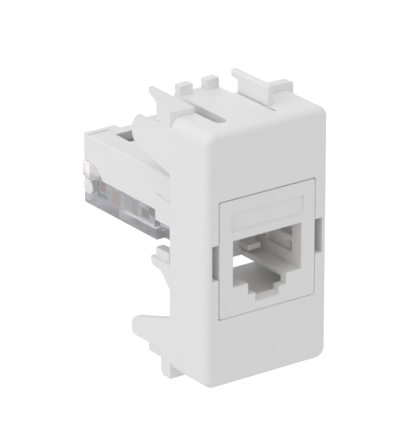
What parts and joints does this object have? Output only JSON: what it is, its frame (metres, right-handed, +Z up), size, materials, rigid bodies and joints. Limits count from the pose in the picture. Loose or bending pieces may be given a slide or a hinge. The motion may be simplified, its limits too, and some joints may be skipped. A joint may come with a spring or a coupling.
{
  "type": "keystone jack",
  "caption": "White modular jack in a snap-in wall plate module, with contact springs in the plug port and a clear hinged cap that presses wires into the terminals.",
  "frame": {"origin": "middle of the plug port's main opening, on the module's front face", "axes": "X to the right seen from the front, Y from the face into the wall, Z up"},
  "size_m": [0.0211, 0.0338, 0.0424],
  "materials": {
    "white_plastic": "satin moulded plastic",
    "comb_plastic": "satin moulded plastic",
    "block_plastic": "satin moulded plastic",
    "clear_plastic": "clear polished plastic",
    "label_film": "printed colour fields",
    "board": "lacquered board",
    "contact_gold": "gold-plated spring wire",
    "terminal_tin": "tinned bright"
  },
  "bodies": {
    "jack": {"housing": "white_plastic", "jack_body": "white_plastic", "rear_housing": "white_plastic", "contact_comb": "comb_plastic", "circuit_board": "board", "terminal_block": "block_plastic", "terminal_1": "terminal_tin", "terminal_2": "terminal_tin", "terminal_3": "terminal_tin", "terminal_4": "terminal_tin", "terminal_5": "terminal_tin", "terminal_6": "terminal_tin", "terminal_7": "terminal_tin", "terminal_8": "terminal_tin"},
    "wiring_cap": {"wiring_cap": "clear_plastic", "wiring_label_left": "label_film", "wiring_label_right": "label_film"},
    "contact_1": {"contact_1": "contact_gold"},
    "contact_2": {"contact_2": "contact_gold"},
    "contact_3": {"contact_3": "contact_gold"},
    "contact_4": {"contact_4": "contact_gold"},
    "contact_5": {"contact_5": "contact_gold"},
    "contact_6": {"contact_6": "contact_gold"},
    "contact_7": {"contact_7": "contact_gold"},
    "contact_8": {"contact_8": "contact_gold"}
  },
  "joints": [
    {"name": "cap_hinge", "type": "hinge", "parent": "jack", "child": "wiring_cap", "pos_m": [0, 0.0323, 0.0018], "axis": [1, 0, 0], "range_deg": [0, 85]},
    {"name": "contact_1_flex", "type": "hinge", "parent": "jack", "child": "contact_1", "pos_m": [-0.00356, 0.0033, 0.00627], "axis": [1, 0, 0], "range_deg": [0, 9], "stiffness_Nm_per_rad": 0.035},
    {"name": "contact_2_flex", "type": "hinge", "parent": "jack", "child": "contact_2", "pos_m": [-0.00254, 0.0033, 0.00627], "axis": [1, 0, 0], "range_deg": [0, 9], "stiffness_Nm_per_rad": 0.035},
    {"name": "contact_3_flex", "type": "hinge", "parent": "jack", "child": "contact_3", "pos_m": [-0.00152, 0.0033, 0.00627], "axis": [1, 0, 0], "range_deg": [0, 9], "stiffness_Nm_per_rad": 0.035},
    {"name": "contact_4_flex", "type": "hinge", "parent": "jack", "child": "contact_4", "pos_m": [-0.00051, 0.0033, 0.00627], "axis": [1, 0, 0], "range_deg": [0, 9], "stiffness_Nm_per_rad": 0.035},
    {"name": "contact_5_flex", "type": "hinge", "parent": "jack", "child": "contact_5", "pos_m": [0.00051, 0.0033, 0.00627], "axis": [1, 0, 0], "range_deg": [0, 9], "stiffness_Nm_per_rad": 0.035},
    {"name": "contact_6_flex", "type": "hinge", "parent": "jack", "child": "contact_6", "pos_m": [0.00152, 0.0033, 0.00627], "axis": [1, 0, 0], "range_deg": [0, 9], "stiffness_Nm_per_rad": 0.035},
    {"name": "contact_7_flex", "type": "hinge", "parent": "jack", "child": "contact_7", "pos_m": [0.00254, 0.0033, 0.00627], "axis": [1, 0, 0], "range_deg": [0, 9], "stiffness_Nm_per_rad": 0.035},
    {"name": "contact_8_flex", "type": "hinge", "parent": "jack", "child": "contact_8", "pos_m": [0.00356, 0.0033, 0.00627], "axis": [1, 0, 0], "range_deg": [0, 9], "stiffness_Nm_per_rad": 0.035}
  ]
}
